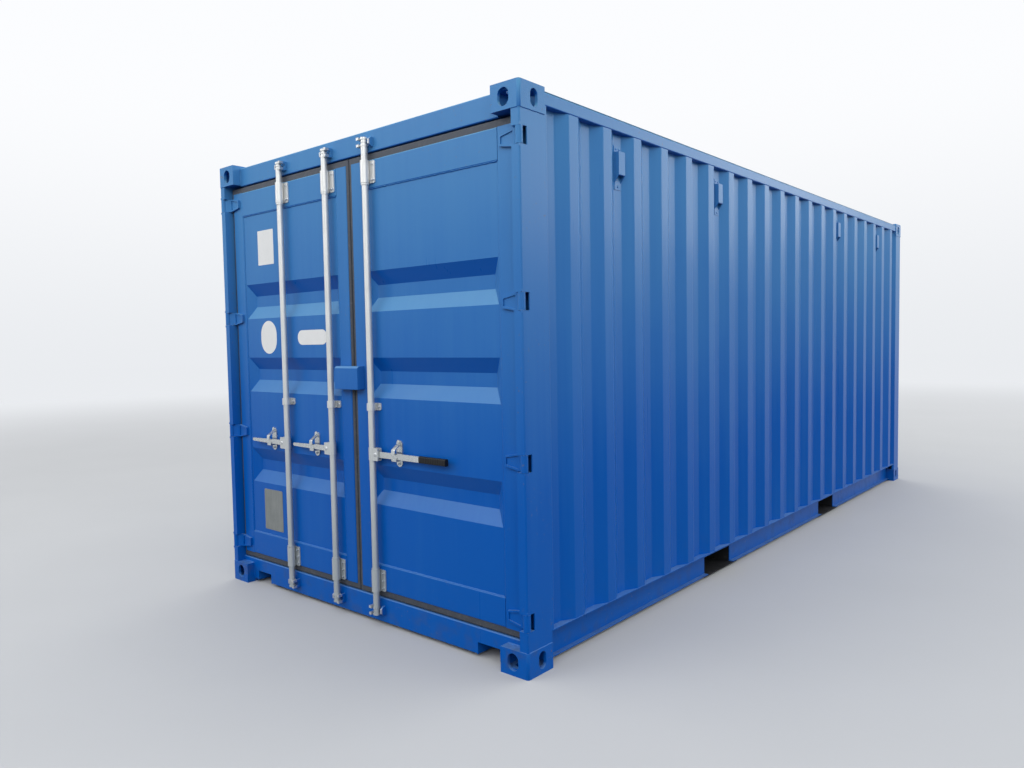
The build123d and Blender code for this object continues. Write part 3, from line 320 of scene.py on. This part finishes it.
# The floor: hardwood plywood boards, laid with the grain along the container, screwed down to
# the crossmembers, oiled, and scuffed by loading. A folded steel plate guards the door edge.
boards, place, facing, shader = new_finish("plywood_boards")
x, y, z = axes(place)
grain = clouds(stretched(place, (70.0, 2.5, 70.0)), 1.0, 6.0)
wide_grain = clouds(stretched(place, (11.0, 0.6, 11.0)), 1.0, 4.0)
sheet_number = clouds(stretched(place, (0.0, 0.86, 0.0)), 1.0, 0.0)
wood = tint(0.55 * grain + 0.35 * wide_grain + 0.5 * (sheet_number - 0.5),
            (0.105, 0.046, 0.020, 1), (0.330, 0.175, 0.080, 1))
SHEET_LENGTH = 1.16
half_sheet = SHEET_LENGTH / 2
cross_seam = 1 - rise(half_sheet - abs((y + 2.76) % SHEET_LENGTH - half_sheet), 0.001, 0.004)
middle_seam = 1 - rise(abs(x), 0.001, 0.004)
seams = cross_seam.math("MAXIMUM", cross_seam, middle_seam)
wood = tint(seams, wood, (0.012, 0.008, 0.006, 1))
scuffs = rise(clouds(stretched(place, (9.0, 1.2, 9.0)), 1.0, 5.0), 0.56, 0.72)
wood = tint(scuffs * 0.35, wood, (0.23, 0.20, 0.17, 1))
lay(shader, Base_Color=wood, Roughness=0.48 + 0.25 * scuffs + 0.12 * grain,
    Normal=relief(1 - seams, 0.002, relief(grain, 0.0005)))
dress(boards, "floor_boards")
dress(rail_paint, "threshold_plate")

# The walls and the roof. Thin sheet, pressed into upright waves for the walls and shallow
# troughs for the roof, butt welded into long panels. The lining side is sprayed pale grey.
wall_paint = blue_paint("wall_paint", buckle=0.0035,
                        inside=lambda x, y, z, fx, fy, fz: rise(0 - x * fx, 0.15, 0.45))
dress(wall_paint, "side_wall_left", "side_wall_right")
front_paint = blue_paint("front_paint", buckle=0.0035,
                         inside=lambda x, y, z, fx, fy, fz: rise(0 - fy, 0.15, 0.45))
dress(front_paint, "front_wall")
roof_paint = blue_paint("roof_paint", buckle=0.0060, splash=0.0, dust_and_sheen_share=0.6,
                        inside=lambda x, y, z, fx, fy, fz: rise(0 - fz, 0.15, 0.45))
dress(roof_paint, "roof_panel")

# The ventilators. Small pressed hoods riveted to the inner flats of the side walls, high up,
# open downwards so that rain stays out. Two rivets hold the top flange and one the bottom.
vent_paint = blue_paint("vent_paint", splash=0.0)
dress(vent_paint, "ventilators_left", "ventilators_right")


def rivet(mesh, place, axis, radius, rise_by=0.5):
    """A low round rivet head, half sunk where it sits on its plate."""
    made = bmesh.ops.create_uvsphere(mesh, u_segments=14, v_segments=8, radius=radius)
    bmesh.ops.scale(mesh, vec=(1, 1, rise_by), verts=made["verts"])
    bmesh.ops.transform(mesh, matrix=stand(place, axis), verts=made["verts"])


VENT_FLANGE = 1.181
mesh = bmesh.new()
for side in (-1, 1):
    for vent_y in (-2.212, -1.092, 1.148, 2.268):
        for rivet_y, rivet_z in ((-0.014, 2.441), (0.014, 2.441), (0.0, 2.254)):
            rivet(mesh, (side * VENT_FLANGE, vent_y + rivet_y, rivet_z), (side, 0, 0), 0.006)
add_piece("vent_rivets", mesh, vent_paint, "frame")

# The doors. Each leaf is a frame of two upright and two level tubes around a panel pressed
# with three wide grooves, welded all round. The side that faces the load is lined in grey.
PANEL_FACE = -2.973
PANEL_BACK = -2.969
door_paint = blue_paint("door_paint", buckle=0.0012, splash=0.05, chips=0.15,
                        inside=lambda x, y, z, fx, fy, fz: (rise(fy, 0.3, 0.6)
                                                            + rise(y, PANEL_BACK, PANEL_BACK + 0.002)))
panel_paint = blue_paint("panel_paint", buckle=0.0030, splash=0.05,
                         inside=lambda x, y, z, fx, fy, fz: rise(fy, 0.15, 0.45))
BEAD_LINE = PANEL_FACE - 0.0005
for leaf, side in (("left_door", -1), ("right_door", 1)):
    dress(door_paint, leaf + "_stiles", leaf + "_rails")
    dress(panel_paint, leaf + "_panel")
    mesh = bmesh.new()
    for edge_x in (0.110, 1.048):
        weld_bead(mesh, (side * edge_x, BEAD_LINE, 0.330), (side * edge_x, BEAD_LINE, 2.276), BEAD)
    for edge_z in (0.325, 2.281):
        weld_bead(mesh, (side * 0.115, BEAD_LINE, edge_z), (side * 1.043, BEAD_LINE, edge_z), BEAD)
    add_piece(leaf + "_welds", mesh, door_paint, leaf)

# The door seals. Extruded black rubber with a lipped channel, pinned round the edge of each
# leaf. It weathers to a dull blue grey and holds dust; its paler band under the header is a
# painted highlight.
seal, place, facing, shader = new_finish("seal_rubber")
x, y, z = axes(place)
bloom = clouds(place, 6.0, 5.0)
# Painted highlight: the rubber turns paler towards the top, under the header.
rubber = tint(0.7 * bloom + 0.4 * rise(z, 1.7, 2.4),
              (0.018, 0.024, 0.036, 1), (0.080, 0.090, 0.110, 1))
grit = rise(clouds(place, 60.0, 4.0), 0.5, 0.75)
rubber = tint(grit * 0.25, rubber, (0.14, 0.144, 0.155, 1))
lay(shader, Base_Color=rubber, Roughness=0.62 + 0.25 * bloom,
    Normal=relief(clouds(place, 220.0, 3.0), 0.0003))
dress(seal, "left_door_gasket", "right_door_gasket")

# The hinges. Forged blades welded to the doors, four to a leaf, their knuckles between the
# lugs of the post on plain steel pins with peened heads.
hinge_paint = blue_paint("hinge_paint", cast=0.0005, splash=0.05, chips=0.35)
dress(hinge_paint, "left_door_hinges", "right_door_hinges")


def zinc_coat(name, dull, dark, light, rough, metal, dimple=0.0001):
    """Hot-dip galvanised steel: pale zinc with a faint spangle, chalky where dull, and painted shade that
    makes it darker and bluer low down.
    """
    coat, place, facing, shader = new_finish(name)
    cells = place.node("ShaderNodeTexVoronoi", {}, {"Vector": place, "Scale": 85.0}, out=1)
    spangle = cells.node("ShaderNodeSeparateColor", {}, {0: cells})
    patches = clouds(place, 9.0, 5.0)
    zinc = tint(0.15 * spangle + 0.85 * patches, dark, light)
    chalk = rise(clouds(place, 30.0, 5.0), 0.56, 0.72) * dull
    zinc = tint(chalk, zinc, (0.72, 0.72, 0.70, 1))
    stains = rise(clouds(stretched(place, (45.0, 45.0, 7.0)), 1.0, 4.0), 0.62, 0.74)
    zinc = tint(stains * 0.20, zinc, (0.30, 0.26, 0.21, 1))
    # Painted shade: the zinc turns darker and bluer towards the bottom.
    zinc = tint(0.6 - 0.6 * rise(axes(place)[2], 0.1, 1.9), zinc, (0.24, 0.30, 0.34, 1))
    lay(shader, Base_Color=zinc, Roughness=rough + 0.12 * patches + 0.05 * spangle + 0.2 * chalk,
        Metallic=metal - 0.3 * chalk - 0.15 * stains,
        Normal=relief(clouds(place, 60.0, 2.0), dimple))
    return coat


bright_zinc = zinc_coat("bright_zinc", dull=0.35, rough=0.31, metal=0.55,
                        dark=(0.63, 0.640, 0.630, 1), light=(0.77, 0.780, 0.770, 1))
dress(bright_zinc, "hinge_pins")

# The lock rods. Three galvanised tubes down the doors, with forged cams welded on at the top
# and the bottom that hook behind the keepers, and a clamp for the handle at hand height.
RODS = (("outer", "left_door", -0.601, -1),
        ("middle", "left_door", -0.170, -1),
        ("right", "right_door", 0.170, 1))
for rod, leaf, rod_x, handle_side in RODS:
    dress(bright_zinc, "lock_rod_" + rod)

# The cam keepers. Forged forks welded to the header and the sill and painted with them; the
# cams rub their front lips bare.
keeper_paint = blue_paint("keeper_paint", cast=0.0005, chips=0.5,
                          rubbed=lambda x, y, z: rise(0 - y, 2.998, 3.012))
dress(keeper_paint, "cam_keepers")

# The rod brackets. Galvanised straps bent round the rods, with a flange at each side that is
# held on the door by bolts that go right through.
bracket_zinc = zinc_coat("bracket_zinc", dull=0.55, rough=0.36, metal=0.55,
                         dark=(0.66, 0.668, 0.655, 1), light=(0.80, 0.805, 0.795, 1))
dress(bracket_zinc, "left_rod_brackets", "right_rod_brackets")


def bolt_head(mesh, place, axis, across):
    """A hexagon head on a washer, with its edges turned down and the thread end showing."""
    axis = Vector(axis)
    for sides, radius, low, high in ((20, 0.95 * across, 0.0, 0.0022), (6, 0.58 * across, 0.0022, 0.0095),
                                     (12, 0.28 * across, 0.0095, 0.0130)):
        middle = Vector(place) + axis * (low + high) / 2
        made = bmesh.ops.create_cone(mesh, cap_ends=True, segments=sides, radius1=radius, radius2=radius,
                                     depth=high - low, matrix=stand(middle, axis))
        top = max(vert.co.dot(axis) for vert in made["verts"])
        rim = {edge for vert in made["verts"] for edge in vert.link_edges
               if all(end.co.dot(axis) > top - 1e-5 for end in edge.verts)}
        bmesh.ops.bevel(mesh, geom=list(rim), offset=0.0009, offset_type="OFFSET", segments=2, profile=0.5,
                        affect="EDGES", material=-1)


bolt_zinc = zinc_coat("bolt_zinc", dull=0.2, rough=0.20, metal=0.62,
                      dark=(0.55, 0.56, 0.57, 1), light=(0.78, 0.79, 0.79, 1))
OUTWARD = (0, -1, 0)
BRACKET_FACE = -2.985
GUIDE_FACE = -2.979
for bolted_leaf in ("left_door", "right_door"):
    mesh = bmesh.new()
    for rod, leaf, rod_x, handle_side in RODS:
        if leaf != bolted_leaf:
            continue
        for bolt_x, bolt_z in ((0.037, 2.402), (0.030, 2.322), (0.044, 2.322),
                               (0.036, 0.281), (0.036, 0.242), (0.036, 0.203)):
            for side in (-1, 1):
                bolt_head(mesh, (rod_x + side * bolt_x, BRACKET_FACE, bolt_z), OUTWARD, 0.0075)
        for side in (-1, 1):
            bolt_head(mesh, (rod_x + side * 0.034, GUIDE_FACE, 1.159), OUTWARD, 0.0080)
    add_piece(bolted_leaf + "_bracket_bolts", mesh, bolt_zinc, bolted_leaf)

# The handles, their cradles and hasps. Flat galvanised bars that pivot in the rod's clamp and
# drop into a lipped cradle on the door, where a small hasp swings down over the bar.
handle_zinc = zinc_coat("handle_zinc", dull=0.15, rough=0.17, metal=0.84, dimple=0.00002,
                        dark=(0.60, 0.61, 0.60, 1), light=(0.86, 0.87, 0.86, 1))
dress(handle_zinc, "left_handle_retainers", "right_handle_retainer")
CRADLE_FACE = -2.979
for leaf, cradles in (("left_door", (-0.781, -0.350)), ("right_door", (0.350,))):
    mesh = bmesh.new()
    for cradle_x in cradles:
        bolt_head(mesh, (cradle_x, CRADLE_FACE, 0.873), OUTWARD, 0.0080)
        for rivet_x in (-0.015, 0.015):
            rivet(mesh, (cradle_x + rivet_x, CRADLE_FACE, 0.946), OUTWARD, 0.004)
    add_piece(leaf + "_cradle_bolts", mesh, bolt_zinc, leaf)
CLAMP_FACE = -3.0203
for rod, leaf, rod_x, handle_side in RODS:
    dress(handle_zinc, "lock_handle_" + rod, "handle_hasp_" + rod)
    soften(0.0025, "lock_handle_" + rod)
    soften(0.0012, "handle_hasp_" + rod)
    mesh = bmesh.new()
    rivet(mesh, (rod_x + handle_side * 0.040, CLAMP_FACE, 0.914), OUTWARD, 0.011, 0.42)
    add_piece("pivot_head_" + rod, mesh, bolt_zinc, "rod_" + rod)

# The grip. A black plastic sleeve moulded over the end of the long handle, with a matt grain
# and shallow ribs, rubbed smoother where hands close round it.
sleeve, place, facing, shader = new_finish("sleeve_plastic")
x, y, z = axes(place)
rubbed = clouds(place, 14.0, 4.0)
plastic = tint(rubbed, (0.004, 0.004, 0.005, 1), (0.012, 0.012, 0.013, 1))
ribs = rise(abs((x + 5.0) % 0.012 - 0.006), 0.001, 0.003)
lay(shader, Base_Color=plastic, Roughness=0.26 + 0.2 * rubbed,
    Normal=relief(clouds(place, 700.0, 2.0), 0.00015, relief(ribs, 0.0006)))
shader.inputs["Specular IOR Level"].default_value = 0.22
dress(sleeve, "handle_grip")

# The lock box. A bent plate hood welded to the right door over the meeting edge, open below,
# which hides a padlock from a crowbar.
dress(hinge_paint, "lock_box")
soften(0.002, "lock_box")

# The blank stickers on the left door: white vinyl cut to an upright square, an oval and a long
# pill, pressed on to the flats between the grooves. Nothing is printed on them.
vinyl, place, facing, shader = new_finish("white_vinyl")
yellowed = clouds(place, 12.0, 4.0)
white = tint(yellowed, (0.70, 0.71, 0.71, 1), (0.80, 0.81, 0.81, 1))
specks = rise(clouds(place, 130.0, 4.0), 0.62, 0.75)
white = tint(specks * 0.3, white, (0.42, 0.43, 0.44, 1))
lay(shader, Base_Color=white, Roughness=0.28 + 0.2 * yellowed + 0.2 * specks,
    Normal=relief(clouds(place, 35.0, 3.0), 0.0004))


def flat_plate(middle, wide, tall, corner, thick):
    """A thin plate with rounded corners, its back against the door sheet."""
    mesh = bmesh.new()
    made = bmesh.ops.create_grid(mesh, x_segments=1, y_segments=1, size=0.5)
    bmesh.ops.scale(mesh, vec=(wide, tall, 1), verts=made["verts"])
    bmesh.ops.bevel(mesh, geom=made["verts"], offset=corner, offset_type="OFFSET", segments=8, profile=0.5,
                    affect="VERTICES", material=-1)
    raised = bmesh.ops.extrude_face_region(mesh, geom=mesh.faces[:])["geom"]
    front = [item for item in raised if isinstance(item, bmesh.types.BMVert)]
    bmesh.ops.translate(mesh, vec=(0, 0, thick), verts=front)
    bmesh.ops.recalc_face_normals(mesh, faces=mesh.faces)
    bmesh.ops.transform(mesh, matrix=stand(middle, OUTWARD), verts=mesh.verts)
    return mesh


for name, middle_x, middle_z, wide, tall, corner in (
        ("square_sticker", -0.816, 2.074, 0.166, 0.206, 0.006),
        ("round_sticker", -0.812, 1.536, 0.166, 0.198, 0.0829),
        ("pill_sticker", -0.374, 1.529, 0.278, 0.084, 0.0419)):
    mesh = flat_plate((middle_x, PANEL_FACE, middle_z), wide, tall, corner, 0.0005)
    add_piece(name, mesh, vinyl, "left_door")

# The blank data plate low on the left door: a thin grey alloy plate, scuffed up and down, with a
# rivet at each corner. It is left without any marking.
alloy, place, facing, shader = new_finish("plate_alloy")
scuffed = clouds(stretched(place, (90.0, 90.0, 9.0)), 1.0, 4.0)
grey = tint(0.6 * scuffed + 0.4 * clouds(place, 16.0, 4.0),
            (0.13, 0.145, 0.145, 1), (0.31, 0.33, 0.325, 1))
lay(shader, Base_Color=grey, Roughness=0.34 + 0.3 * scuffed, Normal=relief(scuffed, 0.0002))
shader.inputs["Metallic"].default_value = 0.4
plate_x, plate_z, plate_thick = -0.822, 0.482, 0.0015
mesh = flat_plate((plate_x, PANEL_FACE, plate_z), 0.194, 0.250, 0.008, plate_thick)
for side in (-1, 1):
    for end in (-1, 1):
        rivet(mesh, (plate_x + side * 0.086, PANEL_FACE - plate_thick, plate_z + end * 0.114), OUTWARD, 0.005)
add_piece("data_plate", mesh, alloy, "left_door")

# The studio: a wide pale floor, an even sky all round, and broad soft lamps, a weak one overhead
# and one off each corner. None of it belongs to the object.
HORIZON = (0.82, 0.84, 0.87, 1)


def in_sight(wire):
    """1 for what the camera sees, directly or mirrored in metal or through glass, else 0."""
    rays = wire.node("ShaderNodeLightPath", {}, {}).socket.node.outputs
    return Wire(rays["Is Camera Ray"]) + Wire(rays["Is Glossy Ray"]) + Wire(rays["Is Transmission Ray"])


mesh = bmesh.new()
bmesh.ops.create_circle(mesh, cap_ends=True, segments=96, radius=60.0)
ground_data = bpy.data.meshes.new("ground")
mesh.to_mesh(ground_data)
mesh.free()
ground_finish, place, facing, shader = new_finish("ground_finish")
sight = in_sight(place)
grey = tint(clouds(place, 0.8, 4.0), (0.44, 0.45, 0.46, 1), (0.48, 0.49, 0.50, 1))
lay(shader, Base_Color=tint(sight, (0.065, 0.072, 0.082, 1), grey))
shader.inputs["Roughness"].default_value = 0.75
shader.inputs["Specular IOR Level"].default_value = 0.2
away = place.node("ShaderNodeVectorMath", {"operation": "LENGTH"}, {0: place}, out=1)
haze = away.node("ShaderNodeEmission", {}, {"Color": HORIZON, "Strength": 1.0})
faded = away.node("ShaderNodeMixShader", {},
                  {0: rise(away, 4.5, 22.0) * sight, 1: Wire(shader.outputs[0]), 2: haze})
ground_tree = ground_finish.node_tree
ground_tree.links.new(faded.socket, ground_tree.nodes["Material Output"].inputs["Surface"])
ground_data.materials.append(ground_finish)
ground = bpy.data.objects.new("ground", ground_data)
bpy.context.scene.collection.objects.link(ground)

sky = bpy.data.worlds.new("sky")
bpy.context.scene.world = sky
sky.use_nodes = True
sky_tree = sky.node_tree
light = sky_tree.nodes["Background"]
light.inputs["Strength"].default_value = 0.92
height = axes(Wire(sky_tree.nodes.new("ShaderNodeTexCoord").outputs["Generated"]))[2]
dome = tint(rise(height, -0.05, 0.30), HORIZON, (0.97, 0.98, 1.00, 1))
sky_tree.links.new(dome.socket, light.inputs["Color"])
seen = dome.node("ShaderNodeBackground", {}, {"Color": dome, "Strength": 1.0})
both = seen.node("ShaderNodeMixShader", {}, {0: in_sight(seen), 1: Wire(light.outputs[0]), 2: seen})
sky_tree.links.new(both.socket, sky_tree.nodes["World Output"].inputs["Surface"])

for name, spot, aim, wide, tall, power in (
        ("overhead_lamp", (0.0, -0.5, 8.0), (0.0, -0.5, 0.0), 10.0, 12.0, 200.0),
        ("door_softbox", (7.5, -10.8, 7.5), (0.0, -3.0, 1.6), 10.0, 6.0, 440.0),
        ("left_softbox", (-5.0, -11.5, 7.5), (0.0, -3.0, 1.5), 8.0, 5.0, 390.0),
        ("right_softbox", (10.0, 9.5, 6.0), (1.2, 0.0, 1.6), 14.0, 4.5, 630.0),
        ("back_softbox", (-9.0, 11.0, 6.0), (-0.8, 1.5, 1.3), 10.0, 6.0, 320.0)):
    lamp = bpy.data.objects.new(name, bpy.data.lights.new(name, "AREA"))
    lamp.data.shape = "RECTANGLE"
    lamp.data.size, lamp.data.size_y = wide, tall
    lamp.data.energy = power
    lamp.visible_camera = False
    facing = Vector(aim) - Vector(spot)
    lamp.matrix_world = Matrix.Translation(spot) @ facing.to_track_quat("-Z", "Y").to_matrix().to_4x4()
    bpy.context.scene.collection.objects.link(lamp)
